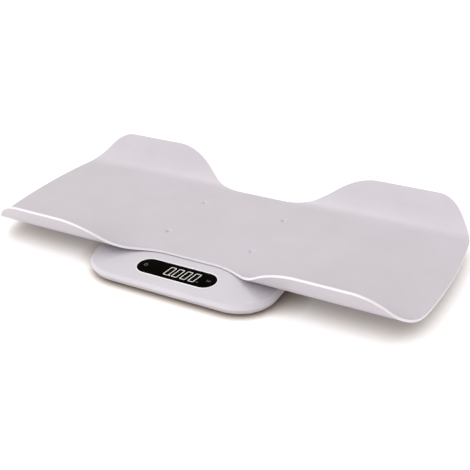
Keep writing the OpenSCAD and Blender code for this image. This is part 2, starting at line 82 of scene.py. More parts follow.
camera = bpy.data.objects.new("camera", bpy.data.cameras.new("camera"))
bpy.context.scene.collection.objects.link(camera)
bpy.context.scene.camera = camera
camera.data.lens = 63.2
camera.data.sensor_width = 36
camera.data.clip_start = 0.05
camera.data.clip_end = 50
away = Vector((sin(CAMERA_TURN) * cos(CAMERA_LIFT),
               -cos(CAMERA_TURN) * cos(CAMERA_LIFT), sin(CAMERA_LIFT)))
camera.location = CAMERA_TARGET + away * CAMERA_DISTANCE
camera.rotation_mode = "QUATERNION"
camera.rotation_quaternion = (-away).to_track_quat("-Z", "Y") @ Quaternion((0, 0, 1), CAMERA_ROLL)
print("camera at", [round(v, 3) for v in camera.location])

# %% [markdown]
# ## Materials
# Moulded plastic is never one flat colour. Its tone drifts a little from place to place, its gloss is
# uneven, and a close look shows a fine spark-eroded grain. Each finish here mixes two near tones with a
# broad noise, lets a finer noise vary the roughness, and adds the grain as bump. All patterns read
# Object coordinates, so they stay with the piece.

# %% Node helpers
def linear(colour):
    """A colour given as on a screen, 0 to 255, in the linear numbers that a shader takes."""
    parts = [(c / 255 / 12.92 if c <= 10 else ((c / 255 + 0.055) / 1.055) ** 2.4) for c in colour]
    return tuple(parts) + (1,)


class Finish:
    """A material under construction: its nodes, its shader and its links."""

    def __init__(self, name):
        self.material = bpy.data.materials.new(name)
        self.material.use_nodes = True
        self.tree = self.material.node_tree
        self.shader = self.tree.nodes["Principled BSDF"]
        self.place = self.tree.nodes.new("ShaderNodeTexCoord").outputs["Object"]

    def add(self, kind, settings, **inputs):
        """A node of a kind, with its settings and its inputs, which are numbers or other nodes' outputs."""
        made = self.tree.nodes.new("ShaderNode" + kind)
        for key, value in settings.items():
            setattr(made, key, value)
        for key, value in inputs.items():
            socket = made.inputs[key.replace("_", " ")]
            if isinstance(value, bpy.types.NodeSocket):
                self.tree.links.new(value, socket)
            else:
                socket.default_value = value
        return made

    def noise(self, size, detail=3, stretch=(1, 1, 1)):
        """Noise whose lumps are about one size across, in metres."""
        mapped = self.add("Mapping", {}, Vector=self.place, Scale=stretch).outputs["Vector"]
        return self.add("TexNoise", {}, Vector=mapped, Scale=1 / size, Detail=detail).outputs["Fac"]

    def ramp(self, value, low, high, out_low, out_high):
        """A value between low and high, spread to the range out_low to out_high."""
        made = self.add("MapRange", {}, Value=value, From_Min=low, From_Max=high,
                        To_Min=out_low, To_Max=out_high)
        return made.outputs["Result"]

    def tones(self, value, first, second, low=0.3, high=0.7):
        """The surface colour: two tones, the first where a value is low and the second where it is high."""
        mix = self.tree.nodes.new("ShaderNodeMix")
        mix.data_type = "RGBA"
        self.tree.links.new(self.ramp(value, low, high, 0, 1), mix.inputs["Factor"])
        mix.inputs["A"].default_value = linear(first)
        mix.inputs["B"].default_value = linear(second)
        self.tree.links.new(mix.outputs["Result"], self.shader.inputs["Base Color"])

    def rough(self, value, low, high):
        self.tree.links.new(self.ramp(value, 0.3, 0.7, low, high), self.shader.inputs["Roughness"])

    def bump(self, value, height, strength=1.0, below=None):
        """Bump of a height in metres, on top of any bump made before."""
        inputs = {"Height": value, "Distance": height, "Strength": strength}
        if below is not None:
            inputs["Normal"] = below
        out = self.add("Bump", {}, **inputs).outputs["Normal"]
        self.tree.links.new(out, self.shader.inputs["Normal"])
        return out


# %% Plastic, rubber and metal finishes
def moulded(name, first, second, rough=(0.38, 0.48), grain=0.7 * MM, coat=0.0):
    """Moulded plastic: two near tones, uneven gloss, a slow ripple and a fine grain."""
    finish = Finish(name)
    finish.tones(finish.noise(45 * MM, 4), first, second)
    finish.rough(finish.noise(9 * MM, 5), *rough)
    ripple = finish.bump(finish.noise(30 * MM, 2), 0.05 * MM, 0.4)
    finish.bump(finish.noise(grain, 2), 0.012 * MM, 0.6, ripple)
    finish.shader.inputs["IOR"].default_value = 1.46
    finish.shader.inputs["Coat Weight"].default_value = coat
    finish.shader.inputs["Coat Roughness"].default_value = 0.12
    return finish.material


def rubber(name, first, second):
    """Soft rubber: dark, dull, with dusty patches and a pebbled skin."""
    finish = Finish(name)
    finish.tones(finish.noise(6 * MM, 6), first, second)
    finish.rough(finish.noise(2.5 * MM, 4), 0.62, 0.86)
    finish.bump(finish.noise(0.5 * MM, 3), 0.04 * MM)
    finish.shader.inputs["Sheen Weight"].default_value = 0.15
    return finish.material


def metal(name, first, second, rough=(0.18, 0.38), stretch=(1, 1, 1)):
    """Plated or rolled metal: grain drawn out one way, and gloss that changes along it."""
    finish = Finish(name)
    finish.tones(finish.noise(3 * MM, 4, stretch), first, second)
    finish.rough(finish.noise(1.2 * MM, 4, stretch), *rough)
    finish.bump(finish.noise(0.25 * MM, 2, stretch), 0.006 * MM)
    finish.shader.inputs["Metallic"].default_value = 1.0
    return finish.material


def glossy_black(name):
    """The window: smoked acrylic, almost black, with faint orange-peel and wiping haze in the gloss."""
    finish = Finish(name)
    finish.tones(finish.noise(20 * MM, 3), (6, 5, 4), (9, 7, 6))
    finish.rough(finish.noise(7 * MM, 5, (1, 4, 1)), 0.06, 0.13)
    finish.bump(finish.noise(12 * MM, 1), 0.01 * MM, 0.3)
    finish.shader.inputs["IOR"].default_value = 1.04
    finish.shader.inputs["Specular IOR Level"].default_value = 0.3
    return finish.material


def lit(name, colour, strength, rough=0.5):
    """A segment of the display, lit from inside, a little brighter in some places than in others."""
    finish = Finish(name)
    finish.tones(finish.noise(2.5 * MM, 2), colour, tuple(0.93 * c for c in colour))
    finish.rough(finish.noise(1.5 * MM, 2), rough, rough + 0.1)
    finish.bump(finish.noise(0.6 * MM, 2), 0.004 * MM)
    finish.shader.inputs["Emission Color"].default_value = linear(colour)
    finish.shader.inputs["Emission Strength"].default_value = strength
    return finish.material


def laminate(name):
    """Circuit board: green mask over glass weave, with the weave just visible as ridges."""
    finish = Finish(name)
    weave = finish.add("TexWave", {"bands_direction": "X"}, Vector=finish.place,
                       Scale=1 / (6 * MM), Distortion=0.4)
    finish.tones(finish.noise(8 * MM, 4), (18, 84, 52), (26, 100, 62))
    finish.rough(finish.noise(2 * MM, 3), 0.28, 0.42)
    finish.bump(weave.outputs["Fac"], 0.01 * MM, 0.5)
    return finish.material


def jacket(name):
    """Battery wrap: a plain dark blue shrink film, glossy, with slight wrinkles round the can."""
    finish = Finish(name)
    finish.tones(finish.noise(12 * MM, 3), (28, 62, 118), (35, 74, 134))
    finish.rough(finish.noise(4 * MM, 4), 0.2, 0.34)
    finish.bump(finish.noise(1.8 * MM, 2, (0.3, 1, 1)), 0.02 * MM, 0.7)
    finish.shader.inputs["Coat Weight"].default_value = 0.5
    return finish.material


FINISHES = {
    "tray_white": moulded("tray_white_abs", (187, 182, 187), (191, 185, 191),
                          rough=(0.34, 0.44), coat=0.12),
    "cover_white": moulded("cover_white_abs", (192, 188, 193), (196, 192, 197),
                           rough=(0.36, 0.46), coat=0.08),
    "underside_white": moulded("underside_white_abs", (186, 181, 184), (192, 187, 190), rough=(0.45, 0.58)),
    "bezel_white": moulded("bezel_white_abs", (228, 223, 226), (233, 228, 230),
                           rough=(0.2, 0.28), coat=0.3),
    "foot_white": moulded("foot_white_nylon", (196, 192, 193), (203, 199, 199), rough=(0.42, 0.55)),
    "grip_rubber": rubber("grip_rubber", (70, 72, 76), (84, 86, 90)),
    "pad_rubber": rubber("pad_rubber", (58, 59, 63), (74, 75, 79)),
    "gasket_foam": rubber("gasket_foam", (30, 30, 32), (40, 40, 42)),
    "window_black": glossy_black("smoked_acrylic"),
    "digit_light": moulded("display_block", (60, 60, 58), (72, 72, 69), rough=(0.3, 0.4)),
    "circuit_board": laminate("green_laminate"),
    "chip_black": moulded("chip_epoxy", (26, 26, 28), (34, 34, 36), rough=(0.5, 0.65), grain=0.2 * MM),
    "connector_ivory": moulded("connector_nylon", (222, 214, 190), (228, 221, 199), rough=(0.35, 0.45)),
    "screw_steel": metal("zinc_plate", (176, 178, 182), (196, 198, 200)),
    "spring_steel": metal("nickel_wire", (188, 188, 192), (206, 206, 208), rough=(0.12, 0.26)),
    "button_grey": moulded("button_abs", (156, 158, 165), (164, 166, 172), rough=(0.4, 0.5)),
    "cell_jacket": jacket("cell_jacket"),
    "contact_plate": metal("nickel_strip", (196, 194, 186), (208, 206, 198), stretch=(0.2, 1, 1)),
    "gauge_steel": metal("rolled_steel", (170, 172, 176), (186, 188, 190), stretch=(0.15, 1, 1)),
    "retainer_plastic": moulded("retainer_nylon", (62, 64, 70), (72, 74, 80), rough=(0.45, 0.6)),
    "wire_red": moulded("red_insulation", (150, 26, 22), (166, 34, 28), rough=(0.3, 0.42), grain=0.3 * MM),
    "wire_black": moulded("black_insulation", (26, 26, 27), (36, 36, 38),
                          rough=(0.3, 0.42), grain=0.3 * MM),
}
# Painted highlight: the tray's rim faces get a brighter tone than the tray's own, standing in for the light
# that catches the edge.
RIM_PAINTED_HIGHLIGHT = moulded("rim_painted_highlight_abs", (222, 217, 222), (227, 222, 227), rough=(0.3, 0.4), coat=0.15)
DIGITS_ON = lit("digit_on", (206, 206, 196), 0.42)
KEYS_DIM = lit("key_dim", (112, 108, 98), 0.12)
print("finishes", len(FINISHES))

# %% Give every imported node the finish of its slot
NODE_SLOT = {part["node"]: part["material_slot"] for part in frame["record"]["subparts"]}
for node, slot in NODE_SLOT.items():
    mesh = frame["nodes"][node].data
    mesh.materials.clear()
    mesh.materials.append(FINISHES[slot])

# %% [markdown]
# ## Modelling helpers
# Every new piece starts from a Blender primitive. These helpers keep one habit throughout: deselect
# everything, add the primitive at its place, then work on faces or edges that are chosen by a rule on
# where they are. A finished piece has its place in its mesh, and its object at the origin.

# %% Start, choose and finish
def rest():
    if bpy.context.object and bpy.context.object.mode != "OBJECT":
        bpy.ops.object.mode_set(mode="OBJECT")
    bpy.ops.object.select_all(action="DESELECT")


def only(piece):
    rest()
    piece.select_set(True)
    bpy.context.view_layer.objects.active = piece


def settle(piece):
    """Puts the piece's place into its mesh."""
    only(piece)
    bpy.ops.object.transform_apply(location=True, rotation=True, scale=True)


def begin(kind, name, scale=(1, 1, 1), **settings):
    """A primitive with a name, at its size and place."""
    rest()
    getattr(bpy.ops.mesh, f"primitive_{kind}_add")(**settings)
    piece = bpy.context.object
    piece.scale = scale
    piece.name = piece.data.name = name
    settle(piece)
    return piece


def block(name, low, high):
    """A cube between two corners, to be shaped further."""
    centre, size = (Vector(low) + Vector(high)) / 2, Vector(high) - Vector(low)
    return begin("cube", name, size=1, location=centre, scale=size)


def choose(piece, kind, rule):
    """Opens the piece in edit mode with the vertices, edges or faces selected that the rule accepts."""
    only(piece)
    bpy.context.tool_settings.mesh_select_mode = (kind == "vertex", kind == "edge", kind == "face")
    mesh = piece.data
    for group in (mesh.vertices, mesh.edges, mesh.polygons):
        group.foreach_set("select", [False] * len(group))
    points = mesh.vertices
    if kind == "vertex":
        for vertex in points:
            vertex.select = bool(rule(vertex.co))
    elif kind == "edge":
        for edge in mesh.edges:
            edge.select = bool(rule(points[edge.vertices[0]].co, points[edge.vertices[1]].co))
    else:
        for face in mesh.polygons:
            face.select = bool(rule(face.center, face.normal))
    bpy.ops.object.mode_set(mode="EDIT")


def choose_all(piece):
    choose(piece, "vertex", lambda point: True)


def modify(piece, kind, **settings):
    """Adds a modifier and applies it."""
    only(piece)
    modifier = piece.modifiers.new(kind.lower(), kind)
    for key, value in settings.items():
        setattr(modifier, key, value)
    bpy.ops.object.modifier_apply(modifier=modifier.name)


def soften(piece, width, segments=3, angle=35, smooth_angle=40):
    """Rounds the sharp edges, as a mould does, and smooths the shading."""
    modify(piece, "BEVEL", width=width, segments=segments, limit_method="ANGLE", angle_limit=radians(angle),
           harden_normals=False)
    smooth(piece, smooth_angle)


def smooth(piece, angle):
    """Shades the piece smooth, except across edges sharper than an angle in degrees."""
    only(piece)
    bpy.ops.object.shade_smooth_by_angle(angle=radians(angle))


def cut(piece, *tools):
    """Cuts the shapes of the tools out of the piece and removes the tools."""
    for tool in tools:
        modify(piece, "BOOLEAN", operation="DIFFERENCE", solver="EXACT", object=tool)
        bpy.data.objects.remove(tool)


def join(piece, *others):
    only(piece)
    for other in others:
        other.select_set(True)
    bpy.ops.object.join()
    return piece


def copy_at(piece, name, shift):
    """A copy with its own mesh, moved by a shift."""
    made = piece.copy()
    made.data = piece.data.copy()
    made.name = made.data.name = name
    bpy.context.scene.collection.objects.link(made)
    made.location = Vector(shift)
    settle(made)
    return made


def turned(name, profile, centre, steps=48):
    """A turned piece: one vertex is drawn out along the profile (radius, height), then spun about Z."""
    middle = Vector(centre)
    piece = begin("plane", name, size=MM, location=middle)
    choose_all(piece)
    bpy.ops.mesh.merge(type="CENTER")
    first = profile[0]
    bpy.ops.transform.translate(value=(first[0], 0, first[1]))
    for before, after in zip(profile, profile[1:]):
        bpy.ops.mesh.extrude_vertices_move(
            TRANSFORM_OT_translate={"value": (after[0] - before[0], 0, after[1] - before[1])})
    bpy.ops.mesh.select_all(action="SELECT")
    bpy.ops.mesh.spin(steps=steps, angle=2 * pi, center=middle, axis=(0, 0, 1))
    bpy.ops.mesh.select_all(action="SELECT")
    bpy.ops.mesh.remove_doubles(threshold=0.002 * MM)
    bpy.ops.mesh.normals_make_consistent(inside=False)
    rest()
    return piece


def hand_over(piece, body, slot, *nodes, finish=None):
    """The piece gets its finish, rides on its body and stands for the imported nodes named."""
    if not piece.data.materials:
        piece.data.materials.append(finish or FINISHES[slot])
    settle(piece)
    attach(piece, body)
    if nodes:
        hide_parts(*nodes)
    piece.data.calc_loop_triangles()
    print(piece.name, "triangles", len(piece.data.loop_triangles))
    return piece

# %% [markdown]
# ## The outlines
# The tray and the cover are both sheets with a rounded outline. A grid primitive is fitted into each
# outline by blending its four edges towards each other (a Coons patch), so that rows and columns follow
# the outline and the rim comes out clean. Outlines are made of arcs only.

# %% Arcs, even spacing and the patch
def arc(centre, radius, start, end, steps=60):
    """Points along an arc, with angles in radians."""
    angles = [start + (end - start) * i / steps for i in range(steps + 1)]
    return [(centre[0] + radius * cos(a), centre[1] + radius * sin(a)) for a in angles]


def evenly(points, count):
    """Points spaced evenly along a line of points, count + 1 of them."""
    lengths = [0.0]
    for a, b in zip(points, points[1:]):
        lengths.append(lengths[-1] + hypot(b[0] - a[0], b[1] - a[1]))
    made, i = [], 0
    for k in range(count + 1):
        want = lengths[-1] * k / count
        while i < len(points) - 2 and lengths[i + 1] < want:
            i += 1
        span = lengths[i + 1] - lengths[i]
        share = (want - lengths[i]) / span if span else 0
        made.append(tuple(p + (q - p) * share for p, q in zip(points[i], points[i + 1])))
    return made


def patch(bottom, top, left, right):
    """Rows of points that fill four edges. Bottom and top run to the right, left and right run up."""
    across, up = len(bottom) - 1, len(left) - 1
    rows = []
    for j in range(up + 1):
        v, row = j / up, []
        for i in range(across + 1):
            u = i / across
            row.append(tuple(
                (1 - v) * bottom[i][k] + v * top[i][k] + (1 - u) * left[j][k] + u * right[j][k]
                - (1 - u) * (1 - v) * bottom[0][k] - u * (1 - v) * bottom[-1][k]
                - (1 - u) * v * top[0][k] - u * v * top[-1][k] for k in (0, 1)))
        rows.append(row)
    return rows


def flipped(points, x=1, y=1):
    return [(x * px, y * py) for px, py in points]


def four_sides(front, rear, across, up):
    """The patch edges from two right-hand quarters, each a pair of lines: along its long edge from the
    middle to half way round its corner, and from there to the end's middle. The front's is given as if
    it were at the rear."""
    def whole(line, sign):
        return flipped(flipped(line[::-1], x=-1) + line[1:], y=sign)
    bottom, top = evenly(whole(front[0], -1), across), evenly(whole(rear[0], 1), across)
    right = evenly(flipped(front[1], y=-1) + rear[1][::-1][1:], up)
    return patch(bottom, top, flipped(right, x=-1), right)


def sheet_piece(name, rows, place):
    """A grid primitive whose points are laid on the rows, each put in its place by a function."""
    across, up = len(rows[0]) - 1, len(rows) - 1
    piece = begin("grid", name, x_subdivisions=across, y_subdivisions=up, size=1)
    for vertex in piece.data.vertices:
        i, j = round((vertex.co.x + 0.5) * across), round((vertex.co.y + 0.5) * up)
        vertex.co = place(*rows[j][i])
    piece.data.update()
    return piece


# %% [markdown]
# ## The tray
# The tray is one moulded sheet, 3 mm thick. Its floor is flat, its front and rear walls roll up on a
# 42 mm radius and lean out, each with a wide finger notch in the middle, and both ends are open and
# slightly bowed. The outline is worked out on the rolled-out sheet, so that the rows stay even on the
# walls. Four round marks show where the locating pegs are below: each is a shallow dish with a dent in
# its middle and a small pip on either side.

# %% The tray's outline and section
TRAY_LOW, TRAY_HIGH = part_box("tray_shell")
TRAY_HALF_L = TRAY_HIGH.x
TRAY_HALF_W = (TRAY_HIGH.y - TRAY_LOW.y) / 2
TRAY_Y = (TRAY_HIGH.y + TRAY_LOW.y) / 2
TRAY_T = 3 * MM
FLOOR_Z = 25 * MM
FLAT_HALF = 96 * MM
ROLL_R = 42 * MM
ROLL_END = radians(57)
BOW_R = 770 * MM
BOW_Y = 10 * MM
NOTCH_FLAT, NOTCH_IN, NOTCH_OUT = 33 * MM, 75 * MM, 130 * MM


def tray_quarter(depth, corner, bow_y):
    """A right-hand rear quarter of the outline: notch, shoulder and straight to half way round the
    corner, and from there to the middle of the bowed end."""
    turn = acos(1 - depth / (NOTCH_IN + NOTCH_OUT))
    shoulder_x = NOTCH_FLAT + (NOTCH_IN + NOTCH_OUT) * sin(turn)
    rise = TRAY_HALF_W - corner - bow_y
    bow_x = TRAY_HALF_L - BOW_R
    centre = (bow_x + sqrt((BOW_R - corner) ** 2 - rise ** 2), TRAY_HALF_W - corner)
    meet = atan2(rise, centre[0] - bow_x)
    half_way = (pi / 2 + meet) / 2
    along = [(0, TRAY_HALF_W - depth)]
    along += arc((NOTCH_FLAT, TRAY_HALF_W - depth + NOTCH_IN), NOTCH_IN, -pi / 2, -pi / 2 + turn)
    along += arc((shoulder_x, TRAY_HALF_W - NOTCH_OUT), NOTCH_OUT, pi / 2 + turn, pi / 2)
    along += arc(centre, corner, pi / 2, half_way)
    down = arc(centre, corner, half_way, meet) + arc((bow_x, bow_y), BOW_R, meet, 0)[1:]
    return along, down


def rolled_out(y):
    """Distance from the middle of the tray along its section, for a place across it."""
    past = abs(y) - FLAT_HALF
    bend = ROLL_R * sin(ROLL_END)
    if past <= 0:
        length = abs(y)
    elif past <= bend:
        length = FLAT_HALF + ROLL_R * asin(past / ROLL_R)
    else:
        length = FLAT_HALF + ROLL_R * ROLL_END + (past - bend) / cos(ROLL_END)
    return length if y >= 0 else -length


def section(length):
    """The place across the tray and the height above its floor, for a distance along its section."""
    past = abs(length) - FLAT_HALF
    angle = min(max(past / ROLL_R, 0), ROLL_END)
    straight = max(past - ROLL_R * ROLL_END, 0)
    y = min(abs(length), FLAT_HALF) + ROLL_R * sin(angle) + straight * cos(ROLL_END)
    z = ROLL_R * (1 - cos(angle)) + straight * sin(ROLL_END)
    return (y if length >= 0 else -y), z


def unrolled(lines):
    return [[(x, rolled_out(y)) for x, y in line] for line in lines]


# %% The tray's sheet, marks, wall thickness and rim
PEG_X, PEG_Y = 60.5 * MM, 48 * MM
PIP_OFF, PIP_R, PIP_DEPTH = 8 * MM, 1.7 * MM, 0.45 * MM
MARK_REACH = 10.5 * MM
PEGS = [(x, y) for x in (-PEG_X, PEG_X) for y in (TRAY_Y - PEG_Y, TRAY_Y + PEG_Y)]
DISH_R, DISH_DEPTH, DISH_EDGE = 6.25 * MM, 0.35 * MM, 1.0 * MM
DENT_IN, DENT_R, DENT_DEPTH = 1.5 * MM, 4.3 * MM, 2.3 * MM


def on_tray(x, length):
    y, z = section(length)
    return Vector((x, y + TRAY_Y, z + FLOOR_Z))


tray_rows = four_sides(unrolled(tray_quarter(47 * MM, 70 * MM, -BOW_Y)),
                       unrolled(tray_quarter(42 * MM, 56 * MM, BOW_Y)), 210, 116)
tray = sheet_piece("tray", tray_rows, on_tray)


def near_peg(point, reach):
    return any(hypot(point.x - x, point.y - y) < reach for x, y in PEGS)


choose(tray, "face", lambda centre, normal: near_peg(centre, MARK_REACH))
bpy.ops.mesh.subdivide(number_cuts=4)
rest()
for vertex in tray.data.vertices:
    for x, y in PEGS:
        reach = hypot(vertex.co.x - x, vertex.co.y - y)
        if reach < DISH_R:
            dish = DISH_DEPTH * min(1, (DISH_R - reach) / DISH_EDGE)
            slope = min(1, max(0, (reach - DENT_IN) / (DENT_R - DENT_IN)))
            dent = DENT_DEPTH * (1 + cos(pi * slope)) / 2
            vertex.co.z -= dish + dent
        for side in (-1, 1):
            pip = hypot(vertex.co.x - x - side * PIP_OFF, vertex.co.y - y) / PIP_R
            vertex.co.z -= PIP_DEPTH * max(0, 1 - pip ** 2)
tray.data.materials.append(FINISHES["tray_white"])
# The second material, on the rim faces that solidify makes, is the painted highlight.
tray.data.materials.append(RIM_PAINTED_HIGHLIGHT)
modify(tray, "SOLIDIFY", thickness=TRAY_T, offset=-1, use_even_offset=True, material_offset_rim=1)
modify(tray, "BEVEL", width=1.25 * MM, segments=4, limit_method="ANGLE", angle_limit=radians(55),
       profile=0.5)
smooth(tray, 50)

PEG_R = 4.5 * MM
peg_profile = [(0, TRAY_LOW.z), (PEG_R - 0.8 * MM, TRAY_LOW.z),
               (PEG_R - 0.25 * MM, TRAY_LOW.z + 0.25 * MM), (PEG_R, TRAY_LOW.z + 0.8 * MM),
               (PEG_R, FLOOR_Z - 4.2 * MM), (PEG_R + 0.3 * MM, FLOOR_Z - 3.5 * MM),
               (PEG_R + 1.1 * MM, FLOOR_Z - 2.9 * MM), (0, FLOOR_Z - 2.6 * MM)]
for number, (x, y) in enumerate(PEGS):
    peg = turned(f"peg_{number}", peg_profile, (x, y, 0), 32)
    smooth(peg, 35)
    join(tray, peg)
hand_over(tray, "tray", "tray_white", "tray_shell")

# %% [markdown]
# ## The top cover
# The cover's roof is almost flat under the tray, falls away in a long crown to the front, where the
# window is, and drops a little towards each side. Its sides lean in. The roof is a grid fitted into the
# rounded outline, the sides are its border extruded down to the seam, and one bevel rounds the edge
# between them.

# %% The cover's outline and roof
COVER_LOW, COVER_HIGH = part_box("top_cover")
COVER_HALF_W = COVER_HIGH.x
COVER_HALF_D = (COVER_HIGH.y - COVER_LOW.y) / 2
COVER_Y = (COVER_HIGH.y + COVER_LOW.y) / 2
COVER_TOP = 21.2 * MM
COVER_CORNER = 50 * MM
SEAM_Z = 11.7 * MM
SIDE_LEAN = 0.54
CROWN_R, CROWN_FRONT, CROWN_REAR = 580 * MM, -77 * MM, 26 * MM
HIP_HALF, HIP_FALL = 70 * MM, 2.7 * MM
COVER_WALL = 2.2 * MM


def roof(x, y):
    """Height of the roof: the lower of the crown and the hips, with the change between them softened."""
    off = max(0, CROWN_FRONT - y, y - CROWN_REAR)
    crown = COVER_TOP - (CROWN_R - sqrt(CROWN_R ** 2 - off ** 2))
    out = abs(x) - HIP_HALF
    out = (out + sqrt(out ** 2 + (2.5 * MM) ** 2)) / 2
    hip = COVER_TOP + 0.05 * MM - HIP_FALL * out / (COVER_HALF_W - HIP_HALF)
    soft = 0.35 * MM
    mix = max(soft - abs(crown - hip), 0) / soft
    return min(crown, hip) - mix ** 2 * soft / 4


def outward(x, y):
    """The direction straight out of the rounded outline, near its edge."""
    in_x, in_y = COVER_HALF_W - COVER_CORNER, COVER_HALF_D - COVER_CORNER
    past_x, past_y = abs(x) - in_x, abs(y - COVER_Y) - in_y
    if past_x > 0 and past_y > 0:
        reach = hypot(past_x, past_y)
        away_x, away_y = past_x / reach, past_y / reach
    else:
        away_x, away_y = (1, 0) if past_x > past_y else (0, 1)
    return (away_x if x > 0 else -away_x), (away_y if y > COVER_Y else -away_y)


def roof_edge(x, y):
    """Where the side that starts at a point of the seam's outline meets the roof."""
    way = outward(x, y + COVER_Y)
    inset = 4 * MM
    for _ in range(6):
        inset = SIDE_LEAN * (roof(x - way[0] * inset, y + COVER_Y - way[1] * inset) - SEAM_Z)
    return x - way[0] * inset, y - way[1] * inset


def cover_quarter(sign):
    centre = (COVER_HALF_W - COVER_CORNER, COVER_HALF_D - COVER_CORNER)
    along = evenly([(0, COVER_HALF_D), (centre[0], COVER_HALF_D)], 60)
    along += arc(centre, COVER_CORNER, pi / 2, pi / 4)[1:]
    down = arc(centre, COVER_CORNER, pi / 4, 0)
    down += evenly([(COVER_HALF_W, centre[1]), (COVER_HALF_W, 0)], 60)[1:]
    lines = [[roof_edge(x, sign * y) for x, y in line] for line in (along, down)]
    return [[(x, abs(y)) for x, y in line] for line in lines]


# %% The cover's roof, sides and wall
top_cover = sheet_piece("cover_top", four_sides(cover_quarter(-1), cover_quarter(1), 120, 120),
                        lambda x, y: Vector((x, y + COVER_Y, roof(x, y + COVER_Y))))
choose_all(top_cover)
bpy.ops.mesh.region_to_loop()
bpy.ops.mesh.extrude_edges_move(TRANSFORM_OT_translate={"value": (0, 0, 0)})
rest()
for vertex in top_cover.data.vertices:
    if vertex.select:
        way = outward(vertex.co.x, vertex.co.y)
        reach = SIDE_LEAN * (vertex.co.z - SEAM_Z)
        vertex.co = (vertex.co.x + way[0] * reach, vertex.co.y + way[1] * reach, SEAM_Z)
modify(top_cover, "BEVEL", width=1.9 * MM, segments=5, limit_method="ANGLE", angle_limit=radians(25),
       profile=0.5)
choose_all(top_cover)
bpy.ops.mesh.normals_make_consistent(inside=False)
rest()
modify(top_cover, "SOLIDIFY", thickness=COVER_WALL, offset=-1, use_even_offset=True)
print("cover box", [round(v, 4) for v in top_cover.dimensions])

# %% [markdown]
# ## Wells, grips and the window's seat
# Four wells in the cover take the tray's pegs, each with a rubber ring round it that the tray rests on.
# They are cut as turned shapes, and each well gets a turned cup below the roof. The window's seat is cut
# with a stadium, which is a long block with fully rounded ends, tilted as the console is.

# %% Stadiums on the tilted console
GRIP_LOW, GRIP_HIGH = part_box("tray_grips")
WELL_R, WELL_FLOOR = 5.0 * MM, 13.5 * MM
GRIP_IN, GRIP_OUT, GRIP_SEAT = 7.1 * MM, 11.1 * MM, 20.2 * MM
WINDOW_L, WINDOW_W = 108 * MM, 31 * MM
WINDOW_AT = Vector((0, -119, 19.68)) * MM
WINDOW_TILT = radians(4.15)
BEZEL_W = 1.5 * MM


def on_console(piece):
    """Moves a piece that was made about the origin to the window, and tilts it with the console."""
    piece.location = WINDOW_AT
    piece.rotation_euler = (WINDOW_TILT, 0, 0)
    settle(piece)
    return piece


def stadium(name, length, width, low, high, steps=28):
    """A flat stadium between two heights: a quad strip whose ends are spun half way round."""
    piece = begin("plane", name, size=1, location=(0, 0, low), scale=(length - width, width, 1))
    for side in (1, -1):
        end = side * (length - width) / 2
        choose(piece, "vertex", lambda p: abs(p.x - end) < 1e-6 and abs(p.y - side * width / 2) < 1e-6)
        bpy.ops.mesh.spin(steps=steps, angle=pi, center=(end, 0, low), axis=(0, 0, 1))
    choose_all(piece)
    bpy.ops.mesh.remove_doubles(threshold=0.005 * MM)
    bpy.ops.mesh.edge_face_add()
    bpy.ops.mesh.dissolve_limited(angle_limit=radians(0.5))
    rest()
    choose_all(piece)
    bpy.ops.mesh.extrude_region_move(TRANSFORM_OT_translate={"value": (0, 0, high - low)})
    bpy.ops.mesh.select_all(action="SELECT")
    bpy.ops.mesh.normals_make_consistent(inside=False)
    rest()
    return piece


# %% Cut the cover
CUP_WALL = 1.8 * MM
SEAT_IN, SEAT_OUT = GRIP_IN - 0.15 * MM, GRIP_OUT + 0.15 * MM
cup_profile = [(WELL_R, WELL_FLOOR), (WELL_R, COVER_TOP - MM), (WELL_R + CUP_WALL, COVER_TOP - MM),
               (WELL_R + CUP_WALL, WELL_FLOOR - 1.3 * MM), (WELL_R + 1.3 * MM, WELL_FLOOR - CUP_WALL),
               (0, WELL_FLOOR - CUP_WALL), (0, WELL_FLOOR), (WELL_R - 0.5 * MM, WELL_FLOOR)]
hole_profile = [(0, COVER_TOP - 6 * MM), (WELL_R, COVER_TOP - 6 * MM), (WELL_R, COVER_TOP - 0.5 * MM),
                (WELL_R + 0.6 * MM, COVER_TOP + 0.3 * MM), (0, COVER_TOP + 0.3 * MM)]
seat_profile = [(SEAT_IN, GRIP_SEAT), (SEAT_OUT, GRIP_SEAT), (SEAT_OUT, COVER_TOP + MM),
                (SEAT_IN, COVER_TOP + MM), (SEAT_IN, GRIP_SEAT)]
for number, (x, y) in enumerate(PEGS):
    cup = turned(f"cup_{number}", cup_profile, (x, y, 0), 40)
    choose_all(cup)
    bpy.ops.mesh.edge_face_add()
    rest()
    hole = turned("hole", hole_profile, (x, y, 0), 40)
    seat = turned("seat", seat_profile, (x, y, 0), 56)
    cut(top_cover, hole, seat)
    join(top_cover, cup)
CLEAR = 0.3 * MM
opening = on_console(stadium("opening", WINDOW_L + 2 * BEZEL_W + CLEAR, WINDOW_W + 2 * BEZEL_W + CLEAR,
                             -6 * MM, 4 * MM))
cut(top_cover, opening)
smooth(top_cover, 40)
hand_over(top_cover, "base", "cover_white", "top_cover")

# %% Rubber grips round the wells
grip_profile = [(GRIP_IN, GRIP_SEAT), (GRIP_OUT, GRIP_SEAT), (GRIP_OUT, GRIP_HIGH.z - 0.45 * MM),
                (GRIP_OUT - 0.13 * MM, GRIP_HIGH.z - 0.13 * MM), (GRIP_OUT - 0.45 * MM, GRIP_HIGH.z),
                (GRIP_OUT - 1.3 * MM, GRIP_HIGH.z), (GRIP_OUT - 1.6 * MM, GRIP_HIGH.z - 0.3 * MM),
                (GRIP_IN + 1.6 * MM, GRIP_HIGH.z - 0.3 * MM), (GRIP_IN + 1.3 * MM, GRIP_HIGH.z),
                (GRIP_IN + 0.45 * MM, GRIP_HIGH.z), (GRIP_IN + 0.13 * MM, GRIP_HIGH.z - 0.13 * MM),
                (GRIP_IN, GRIP_HIGH.z - 0.45 * MM), (GRIP_IN, GRIP_SEAT)]
grips = [turned(f"grip_{number}", grip_profile, (x, y, 0), 64) for number, (x, y) in enumerate(PEGS)]
grip = join(*grips)
grip.name = grip.data.name = "grips"
smooth(grip, 40)
